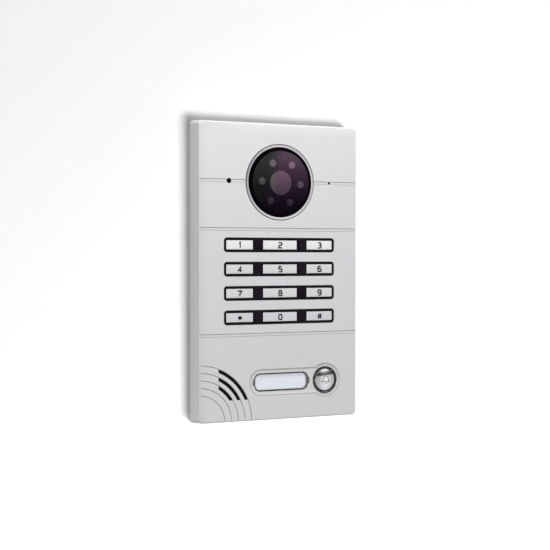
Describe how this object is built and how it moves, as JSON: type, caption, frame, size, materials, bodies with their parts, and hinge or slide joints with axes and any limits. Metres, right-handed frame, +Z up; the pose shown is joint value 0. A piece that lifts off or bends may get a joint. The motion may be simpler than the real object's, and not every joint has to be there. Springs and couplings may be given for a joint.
{
  "type": "door intercom panel",
  "caption": "Wall-mounted door station with a camera dome, a telephone-style keypad, a name window, a call button and a corner speaker over a recessed rear housing.",
  "frame": {"origin": "centre of the panel on the wall plane, at the middle of the four wall screws", "axes": "+X to the right and +Z up as a visitor sees the panel, +Y into the wall; the visible face is at negative Y"},
  "size_m": [0.1212, 0.0416, 0.2022],
  "materials": {
    "cover_paint": "fine silver-grey satin paint on a die casting",
    "bezel_metal": "satin bright plating",
    "dark_chrome": "polished black chrome",
    "polished_chrome": "polished",
    "key_silver": "satin anodised with dark printed digits",
    "smoked_window": "glossy smoked polycarbonate",
    "clear_plastic": "clear and glossy",
    "card": "plain card",
    "white_plastic": "satin moulded",
    "black_gloss_plastic": "semi-gloss moulded",
    "black_matte_plastic": "fine matt grain",
    "speaker_cloth": "open black dust cloth",
    "housing_plastic": "spark-eroded grain",
    "lens_glass": "coated optical glass",
    "lamp_epoxy": "tinted clear epoxy",
    "white_lamp": "white package with yellow phosphor",
    "silicone": "matt silicone",
    "black_rubber": "matt",
    "circuit_board": "green solder mask with copper tracks",
    "zinc_steel": "zinc plated",
    "stainless": "plain stainless",
    "nickel_brass": "nickel plated",
    "paper_cone": "coated cone",
    "magnet": "ferrite between plated plates",
    "relay_plastic": "blue moulded case",
    "capacitor_sleeve": "printed sleeve on an aluminium can",
    "terminal_plastic": "green moulded",
    "ribbon": "white flat cable with a blue end strip",
    "wire_insulation": "red and black insulation"
  },
  "bodies": {
    "panel": {"front_cover": "cover_paint", "camera_bezel": "bezel_metal", "button_ring": "dark_chrome", "camera_window": "smoked_window", "light_guide": "clear_plastic", "name_card": "card", "name_tray": "white_plastic", "connectors": "white_plastic", "keypad_frame": "black_gloss_plastic", "camera_cup": "black_matte_plastic", "lamp_mask": "black_matte_plastic", "lens_barrel": "black_matte_plastic", "light_sensor": "black_matte_plastic", "chips": "black_matte_plastic", "microphone": "black_matte_plastic", "speaker_mesh": "speaker_cloth", "rear_housing": "housing_plastic", "lens_glass": "lens_glass", "infrared_lamps": "lamp_epoxy", "name_lamps": "white_lamp", "keypad_mat": "silicone", "button_contact": "silicone", "housing_seal": "silicone", "microphone_boot": "black_rubber", "cable_grommet": "black_rubber", "bezel_seal": "black_rubber", "camera_boards": "circuit_board", "key_board": "circuit_board", "side_board": "circuit_board", "main_board": "circuit_board", "mounting_bracket": "zinc_steel", "housing_screws": "zinc_steel", "board_screws": "zinc_steel", "small_screws": "zinc_steel", "speaker_basket": "zinc_steel", "shield_can": "zinc_steel", "lock_screw": "stainless", "button_spring": "stainless", "button_nut": "nickel_brass", "speaker_cone": "paper_cone", "speaker_magnet": "magnet", "relay": "relay_plastic", "capacitors": "capacitor_sleeve", "terminal_block": "terminal_plastic", "ribbon_cables": "ribbon", "leads": "wire_insulation"},
    "key_1": {"key_1": "key_silver"},
    "key_2": {"key_2": "key_silver"},
    "key_3": {"key_3": "key_silver"},
    "key_4": {"key_4": "key_silver"},
    "key_5": {"key_5": "key_silver"},
    "key_6": {"key_6": "key_silver"},
    "key_7": {"key_7": "key_silver"},
    "key_8": {"key_8": "key_silver"},
    "key_9": {"key_9": "key_silver"},
    "key_star": {"key_star": "key_silver"},
    "key_0": {"key_0": "key_silver"},
    "key_hash": {"key_hash": "key_silver"},
    "call_button": {"call_button": "polished_chrome"},
    "name_window": {"name_window": "clear_plastic"}
  },
  "joints": [
    {"name": "key_1_press", "type": "slide", "parent": "panel", "child": "key_1", "axis": [0, 1, 0], "range_m": [0, 0.001], "stiffness_N_per_m": 250, "springref_m": -0.0005, "deforming": ["keypad_mat"]},
    {"name": "key_2_press", "type": "slide", "parent": "panel", "child": "key_2", "axis": [0, 1, 0], "range_m": [0, 0.001], "stiffness_N_per_m": 250, "springref_m": -0.0005, "deforming": ["keypad_mat"]},
    {"name": "key_3_press", "type": "slide", "parent": "panel", "child": "key_3", "axis": [0, 1, 0], "range_m": [0, 0.001], "stiffness_N_per_m": 250, "springref_m": -0.0005, "deforming": ["keypad_mat"]},
    {"name": "key_4_press", "type": "slide", "parent": "panel", "child": "key_4", "axis": [0, 1, 0], "range_m": [0, 0.001], "stiffness_N_per_m": 250, "springref_m": -0.0005, "deforming": ["keypad_mat"]},
    {"name": "key_5_press", "type": "slide", "parent": "panel", "child": "key_5", "axis": [0, 1, 0], "range_m": [0, 0.001], "stiffness_N_per_m": 250, "springref_m": -0.0005, "deforming": ["keypad_mat"]},
    {"name": "key_6_press", "type": "slide", "parent": "panel", "child": "key_6", "axis": [0, 1, 0], "range_m": [0, 0.001], "stiffness_N_per_m": 250, "springref_m": -0.0005, "deforming": ["keypad_mat"]},
    {"name": "key_7_press", "type": "slide", "parent": "panel", "child": "key_7", "axis": [0, 1, 0], "range_m": [0, 0.001], "stiffness_N_per_m": 250, "springref_m": -0.0005, "deforming": ["keypad_mat"]},
    {"name": "key_8_press", "type": "slide", "parent": "panel", "child": "key_8", "axis": [0, 1, 0], "range_m": [0, 0.001], "stiffness_N_per_m": 250, "springref_m": -0.0005, "deforming": ["keypad_mat"]},
    {"name": "key_9_press", "type": "slide", "parent": "panel", "child": "key_9", "axis": [0, 1, 0], "range_m": [0, 0.001], "stiffness_N_per_m": 250, "springref_m": -0.0005, "deforming": ["keypad_mat"]},
    {"name": "key_star_press", "type": "slide", "parent": "panel", "child": "key_star", "axis": [0, 1, 0], "range_m": [0, 0.001], "stiffness_N_per_m": 250, "springref_m": -0.0005, "deforming": ["keypad_mat"]},
    {"name": "key_0_press", "type": "slide", "parent": "panel", "child": "key_0", "axis": [0, 1, 0], "range_m": [0, 0.001], "stiffness_N_per_m": 250, "springref_m": -0.0005, "deforming": ["keypad_mat"]},
    {"name": "key_hash_press", "type": "slide", "parent": "panel", "child": "key_hash", "axis": [0, 1, 0], "range_m": [0, 0.001], "stiffness_N_per_m": 250, "springref_m": -0.0005, "deforming": ["keypad_mat"]},
    {"name": "call_button_press", "type": "slide", "parent": "panel", "child": "call_button", "axis": [0, 1, 0], "range_m": [0, 0.0015], "stiffness_N_per_m": 400, "springref_m": -0.0015, "deforming": ["button_spring", "button_contact"]},
    {"name": "name_window_lift", "type": "slide", "parent": "panel", "child": "name_window", "axis": [0, -1, 0], "range_m": [0, 0.008]}
  ]
}
